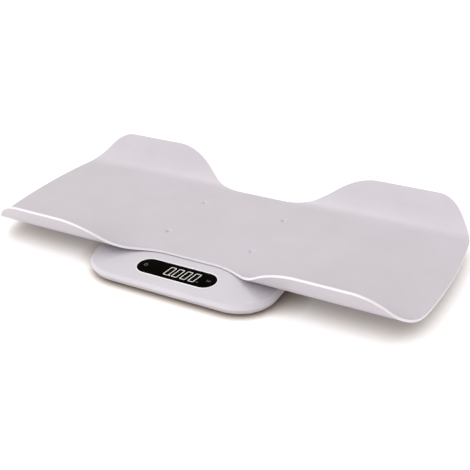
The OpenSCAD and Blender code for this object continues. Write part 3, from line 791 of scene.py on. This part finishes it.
hand_over(grip, "base", "grip_rubber", "tray_grips")

# %% [markdown]
# ## The window and its lit figures
# The window is one panel of smoked acrylic in a narrow white ring, with a rubber gasket below it. Seven
# lit bars make each figure: the bars are six-sided, and the whole figure leans to the right. The panel
# is so dark that only lit bars show through it, so the bars lie just on its face as thin raised pieces.

# %% Ring and panel
ring = stadium("ring", WINDOW_L + 2 * BEZEL_W, WINDOW_W + 2 * BEZEL_W, -3 * MM, 0.25 * MM, 40)
ring_hole = stadium("ring_hole", WINDOW_L, WINDOW_W, -5 * MM, 5 * MM, 40)
cut(ring, ring_hole)
soften(ring, 0.32 * MM, 3, 50)
hand_over(on_console(ring), "base", "bezel_white", "window_bezel")

GLASS_TOP = -0.35 * MM
panel = stadium("panel", WINDOW_L - CLEAR, WINDOW_W - CLEAR, GLASS_TOP - 2 * MM, GLASS_TOP, 40)
soften(panel, 0.25 * MM, 3, 50)
hand_over(on_console(panel), "base", "window_black", "display_window")

# %% Seven-bar figures
FIGURE_H, FIGURE_W, FIGURE_PITCH = 17.6 * MM, 7.6 * MM, 11.5 * MM
BAR_T, BAR_GAP = 0.88 * MM, 0.32 * MM
FIGURE_LEAN = tan(radians(9))
FIGURES_X = -9.2 * MM
BAR_LIFT = 0.09 * MM


def bar(name, centre, length, upright):
    """One lit bar: a thin block whose ends are drawn to a point."""
    piece = begin("grid", name, x_subdivisions=2, y_subdivisions=2, size=1)
    for vertex in piece.data.vertices:
        x = vertex.co.x * (length - (0 if abs(vertex.co.y) < 0.1 else BAR_T))
        y = vertex.co.y * BAR_T
        x, y = (-y, x) if upright else (x, y)
        x, y = x + centre[0], y + centre[1]
        vertex.co = (x + y * FIGURE_LEAN, y, GLASS_TOP)
    choose_all(piece)
    bpy.ops.mesh.extrude_region_move(TRANSFORM_OT_translate={"value": (0, 0, BAR_LIFT)})
    bpy.ops.mesh.select_all(action="SELECT")
    bpy.ops.mesh.normals_make_consistent(inside=False)
    rest()
    return piece


def figure(name, x, lit_bars):
    """A figure from the bars named: t top, m middle, b bottom, and l or r with u or d for the sides."""
    half_h, half_w = (FIGURE_H - BAR_T) / 2, (FIGURE_W - BAR_T) / 2
    flat, tall = 2 * half_w - 2 * BAR_GAP, half_h - 2 * BAR_GAP
    places = {"t": (0, half_h, flat, False), "m": (0, 0, flat, False), "b": (0, -half_h, flat, False),
              "lu": (-half_w, half_h / 2, tall, True), "ld": (-half_w, -half_h / 2, tall, True),
              "ru": (half_w, half_h / 2, tall, True), "rd": (half_w, -half_h / 2, tall, True)}
    bars = []
    for key in lit_bars:
        off_x, off_y, length, upright = places[key]
        bars.append(bar(f"{name}_{key}", (x + off_x, off_y), length + BAR_T * 0.62, upright))
    return join(*bars)


ZERO = ("t", "b", "lu", "ld", "ru", "rd")
figures = join(*[figure(f"figure_{n}", FIGURES_X + n * FIGURE_PITCH, ZERO) for n in range(4)])
point = turned("point", [(0, 0), (0.95 * MM, 0), (0.95 * MM, BAR_LIFT), (0, BAR_LIFT)],
               (FIGURES_X + 5.4 * MM - FIGURE_H / 2 * FIGURE_LEAN, -FIGURE_H / 2 + 0.9 * MM, GLASS_TOP),
               20)
join(figures, point)
figures.name = figures.data.name = "lit_figures"
hand_over(on_console(figures), "base", "digit_light", finish=DIGITS_ON)


# %% Dim marks for the two touch keys and the unit
def tick(name, x, y, length, width):
    piece = block(name, (x - length / 2, y - width / 2, GLASS_TOP),
                  (x + length / 2, y + width / 2, GLASS_TOP + BAR_LIFT))
    soften(piece, 0.12 * width, 2, 50)
    return piece


def hoop(name, x, y, radius, width):
    inner = radius - width
    profile = [(inner, 0), (radius, 0), (radius, BAR_LIFT), (inner, BAR_LIFT), (inner, 0)]
    return turned(name, profile, (x, y, GLASS_TOP), 40)


KEY_X, KEY_Y = 44 * MM, 0.8 * MM
left_hoop = hoop("hoop_left", -KEY_X, KEY_Y, 2.3 * MM, 0.45 * MM)
left_dash = tick("dash_left", -KEY_X, 2.6 * MM, 0.5 * MM, 2.0 * MM)
right_bars = [tick(f"bar_right_{n}", (41.9 + 2.1 * n) * MM, KEY_Y, 0.55 * MM, (4.4 - 1.1 * n) * MM)
              for n in range(3)]
unit_bar = tick("unit_bar", 32.0 * MM, -6.6 * MM, 3.2 * MM, 0.7 * MM)
marks = join(left_hoop, left_dash, *right_bars, unit_bar)
marks.name = marks.data.name = "key_marks"
hand_over(on_console(marks), "base", "digit_light", finish=KEYS_DIM)

# %% [markdown]
# ## Feet and pads
# Each foot is a turned disc with a stem that carries the weight up to its load cell, and a ribbed rubber
# pad is glued into its underside. One of each is turned and then copied to the other three corners.

# %% Turn a foot and a pad, and copy them
FEET = ("front_left", "front_right", "rear_left", "rear_right")
FOOT_R, FOOT_TOP = 14 * MM, 4.4 * MM
PAD_R, PAD_T = 11.9 * MM, 1.8 * MM
STEM_R, STEM_TOP = 6 * MM, 10 * MM
foot_profile = [(0, PAD_T), (PAD_R + 0.1 * MM, PAD_T), (PAD_R + 0.1 * MM, 1.3 * MM), (PAD_R + 0.4 * MM, MM),
                (FOOT_R - 0.7 * MM, MM), (FOOT_R - 0.2 * MM, 1.2 * MM), (FOOT_R, 1.7 * MM),
                (FOOT_R, 3.4 * MM),
                (FOOT_R - 0.3 * MM, 4.1 * MM), (FOOT_R - MM, FOOT_TOP), (STEM_R + 0.8 * MM, FOOT_TOP),
                (STEM_R + 0.2 * MM, 4.6 * MM), (STEM_R, 5.2 * MM), (STEM_R, STEM_TOP - 0.5 * MM),
                (STEM_R - 0.5 * MM, STEM_TOP), (0, STEM_TOP)]
RIB_PITCH, RIB_COUNT, GROOVE = 2.3 * MM, 5, 0.35 * MM
pad_profile = [(0, 0)]
for rib in range(1, RIB_COUNT):
    edge = rib * RIB_PITCH
    pad_profile += [(edge - 0.45 * MM, 0), (edge - 0.25 * MM, GROOVE)]
    pad_profile += [(edge + 0.25 * MM, GROOVE), (edge + 0.45 * MM, 0)]
pad_profile += [(PAD_R - 0.6 * MM, 0), (PAD_R - 0.15 * MM, 0.15 * MM), (PAD_R, 0.6 * MM),
                (PAD_R, PAD_T - 0.05 * MM), (0, PAD_T - 0.05 * MM)]


def middle_of(node):
    low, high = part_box(node)
    return (low + high) / 2


first_foot = turned("foot_pattern", foot_profile, (0, 0, 0), 72)
first_pad = turned("pad_pattern", pad_profile, (0, 0, 0), 72)
for pattern in (first_foot, first_pad):
    smooth(pattern, 38)
for corner in FEET:
    at = middle_of(f"foot_{corner}")
    foot = copy_at(first_foot, f"foot_disc_{corner}", (at.x, at.y, 0))
    hand_over(foot, "base", "foot_white", f"foot_{corner}")
    pad = copy_at(first_pad, f"pad_{corner}", (at.x, at.y, 0))
    hand_over(pad, "base", "pad_rubber", f"foot_pad_{corner}")
for pattern in (first_foot, first_pad):
    bpy.data.objects.remove(pattern)

# %% [markdown]
# ## Screws
# A pan-head screw: a turned head and a shank with thread ridges, and a cross recess cut into the head
# with two crossing blocks. The housing screws point up from the underside. The board screws inside keep
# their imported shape.

# %% Turn one screw and copy it
def screw(name, head_r, head_h, shank_r, length, pitch):
    """A screw that stands on its head at the origin, its shank upwards."""
    profile = [(0, 0), (head_r * 0.7, 0), (head_r * 0.93, head_h * 0.15), (head_r, head_h * 0.45),
               (head_r, head_h * 0.9), (head_r * 0.97, head_h), (shank_r, head_h)]
    z = head_h + pitch
    while z < head_h + length - 2 * pitch:
        profile += [(shank_r * 0.8, z), (shank_r, z + pitch * 0.45), (shank_r, z + pitch * 0.55)]
        z += pitch
    profile += [(shank_r * 0.8, z), (0, head_h + length)]
    made = turned(name, profile, (0, 0, 0), 28)
    slot_l, slot_w = head_r * 1.15, head_r * 0.24
    blocks = [block("recess", (-a, -b, -head_h), (a, b, head_h * 0.55)) for a, b in
              ((slot_l / 2, slot_w / 2), (slot_w / 2, slot_l / 2))]
    cut(made, *blocks)
    smooth(made, 35)
    return made


def set_of(name, pattern, places):
    """One piece made of copies of a pattern, which is then removed."""
    made = join(*[copy_at(pattern, f"{name}_{n}", at) for n, at in enumerate(places)])
    made.name = made.data.name = name
    bpy.data.objects.remove(pattern)
    return made


SCREW_LOW, SCREW_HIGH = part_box("housing_screws")
SCREW_HEAD_R = 3 * MM
screw_x = SCREW_HIGH.x - SCREW_HEAD_R
screw_rows = (SCREW_LOW.y + SCREW_HEAD_R, SCREW_HIGH.y - SCREW_HEAD_R)
screw_places = [(x, y, SCREW_LOW.z) for x in (-screw_x, screw_x) for y in screw_rows]
screw_pattern = screw("screw_pattern", SCREW_HEAD_R, 1.8 * MM, 1.4 * MM, 8 * MM, 0.7 * MM)
housing_screws = set_of("case_screws", screw_pattern, screw_places)
hand_over(housing_screws, "base", "screw_steel", "housing_screws")

# %% [markdown]
# ## Moulded and stamped pieces with plain forms
# The bottom cover, the battery door, the retainers and the small parts inside already have the right
# form. What they lack is the small radius that a mould or a press leaves on every edge. A copy of each
# is merged into one closed mesh, its flat faces are dissolved, and its sharp edges are bevelled.

# %% Round the edges of copies
def rounded_copy(node, name, width, segments=2):
    source = frame["nodes"][node]
    made = source.copy()
    made.data = source.data.copy()
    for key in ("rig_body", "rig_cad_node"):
        if key in made:
            del made[key]
    made.parent = None
    made.name = made.data.name = name
    bpy.context.scene.collection.objects.link(made)
    made.data.materials.clear()
    choose_all(made)
    bpy.ops.mesh.customdata_custom_splitnormals_clear()
    bpy.ops.mesh.remove_doubles(threshold=0.004 * MM)
    bpy.ops.mesh.dissolve_limited(angle_limit=radians(1.0))
    rest()
    soften(made, width, segments, 32)
    return made


BODIES = frame["record"]["behaviour"]["bodies"]
BODY_OF = {node: body for body, group in BODIES.items() for node in group}
ROUNDED = {"bottom_cover": 0.35, "unit_button": 0.25, "controller_chip": 0.12, "wire_connector": 0.1,
           "display_board": 0.12, "led_display": 0.15, "unit_switch": 0.1, "battery_contacts": 0.1,
           "window_gasket": 0.1}
ROUNDED.update({f"cell_retainer_{corner}": 0.2 for corner in FEET})
ROUNDED.update({f"load_cell_{corner}": 0.12 for corner in FEET})
for node, width in ROUNDED.items():
    hand_over(rounded_copy(node, f"{node}_moulded", width * MM), BODY_OF[node], NODE_SLOT[node], node)

# %% [markdown]
# ## Battery door and cells
# The door is a thin plate with a rolled edge, a row of finger ridges by the latch, and two pins at its
# rear. The cells are turned about their own axis and laid along X, with bare metal at both ends.

# %% The door with its ridges
DOOR_LOW, DOOR_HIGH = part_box("battery_door")
door = rounded_copy("battery_door", "door", 0.3 * MM)
ridges = []
for n in range(5):
    y = DOOR_LOW.y + (4.5 + 1.6 * n) * MM
    half = (9 - 1.1 * n) * MM
    ridge = block(f"ridge_{n}", (-half, y - 0.4 * MM, DOOR_LOW.z - 0.35 * MM),
                  (half, y + 0.4 * MM, DOOR_LOW.z + 0.4 * MM))
    soften(ridge, 0.28 * MM, 3, 40)
    ridges.append(ridge)
join(door, *ridges)
hand_over(door, "battery_door", NODE_SLOT["battery_door"], "battery_door")

# %% The cells
CELLS_LOW, CELLS_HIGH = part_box("battery_cells")
CELL_R, CELL_PITCH = 5.25 * MM, 11 * MM
CELL_L, NUB_R, NUB_L = 44.5 * MM, 2.5 * MM, 1.0 * MM
cell_profile = [(0, 0.15 * MM), (3.4 * MM, 0.15 * MM), (3.6 * MM, 0), (4.6 * MM, 0), (4.9 * MM, 0.15 * MM),
                (5.05 * MM, 0.5 * MM), (5.05 * MM, 0.75 * MM), (CELL_R, 0.85 * MM),
                (CELL_R, CELL_L - 0.7 * MM),
                (5.1 * MM, CELL_L - 0.25 * MM), (4.7 * MM, CELL_L), (3.6 * MM, CELL_L - 0.1 * MM),
                (3.2 * MM, CELL_L - 0.35 * MM), (NUB_R + 0.2 * MM, CELL_L - 0.35 * MM),
                (NUB_R, CELL_L - 0.1 * MM), (NUB_R, CELL_L + NUB_L - 0.25 * MM),
                (NUB_R - 0.25 * MM, CELL_L + NUB_L), (0, CELL_L + NUB_L)]
cells = []
for n in range(3):
    cell = turned(f"cell_{n}", cell_profile, (0, 0, 0), 40)
    cell.data.materials.append(FINISHES["cell_jacket"])
    cell.data.materials.append(FINISHES["contact_plate"])
    for face in cell.data.polygons:
        bare = face.center.z < 0.8 * MM or hypot(face.center.x, face.center.y) < 4.2 * MM
        face.material_index = 1 if bare else 0
    way = -1 if n % 2 else 1
    start = CELLS_HIGH.x - NUB_L - CELL_L if way > 0 else CELLS_LOW.x + NUB_L + CELL_L
    cell.rotation_euler = (0, way * pi / 2, 0)
    cell.location = (start, CELLS_LOW.y + CELL_R + n * CELL_PITCH, (CELLS_LOW.z + CELLS_HIGH.z) / 2)
    settle(cell)
    smooth(cell, 38)
    cells.append(cell)
cell_set = join(*cells)
cell_set.name = cell_set.data.name = "cells"
hand_over(cell_set, "base", "cell_jacket", "battery_cells")

# %% [markdown]
# ## Floor and light
# A pale seamless floor, an even warm white surround and three soft lights: a broad key from the front, a
# little to the left, a weaker one from behind on the left that brightens the bends, and a faint low fill
# from the left. The floor has a painted glow where it is open and a painted contact shadow, a darker
# warm tone close to the object, so the contact shadows stay tight.

# %% Floor
CONTACT_REACH = 35 * MM
floor = begin("grid", "studio_floor", size=24, x_subdivisions=8, y_subdivisions=8)
floor_finish = Finish("studio_paper_painted_shadow")
# Painted contact shadow: the floor's colour turns to a dark warm tone where ambient occlusion finds the
# object close.
painted_contact_shade = floor_finish.add("AmbientOcclusion", {"samples": 12}, Distance=CONTACT_REACH).outputs["AO"]
floor_finish.tones(painted_contact_shade, (172, 155, 142), (210, 208, 207), 0.2, 0.78)
# Painted glow: emission that lifts the open floor and fades out close to the object.
painted_glow = floor_finish.ramp(painted_contact_shade, 0.25, 0.8, 0, 0.45)
floor_finish.tree.links.new(painted_glow, floor_finish.shader.inputs["Emission Strength"])
floor_finish.shader.inputs["Emission Color"].default_value = (1.0, 0.985, 0.97, 1)
floor_finish.rough(floor_finish.noise(0.1, 2), 0.85, 0.95)
floor_finish.bump(floor_finish.noise(1 * MM, 2), 0.01 * MM, 0.2)
floor.data.materials.append(floor_finish.material)

# %% Light
scene = bpy.context.scene
scene.view_settings.view_transform = "Standard"
scene.view_settings.look = "None"
scene.world = bpy.data.worlds.new("studio")
scene.world.use_nodes = True
backdrop = scene.world.node_tree.nodes["Background"]
backdrop.inputs["Color"].default_value = (1.0, 0.975, 0.955, 1)
backdrop.inputs["Strength"].default_value = 0.7


def soft_sun(name, turn, lift, spread, strength, colour=(1, 1, 1)):
    """An even soft light from a direction: turned from the front, positive to the right, and lifted."""
    light = bpy.data.objects.new(name, bpy.data.lights.new(name, "SUN"))
    scene.collection.objects.link(light)
    light.data.angle = radians(spread)
    light.data.energy = strength
    light.data.color = colour
    from_x, from_y = sin(radians(turn)) * cos(radians(lift)), -cos(radians(turn)) * cos(radians(lift))
    way = -Vector((from_x, from_y, sin(radians(lift))))
    light.rotation_mode = "QUATERNION"
    light.rotation_quaternion = way.to_track_quat("-Z", "Y")


soft_sun("key", -16, 49, 90, 1.72, (0.98, 0.995, 1.03))
soft_sun("bend_light", -126, 64, 24, 0.45)
soft_sun("left_fill", -78, 17, 40, 0.2)
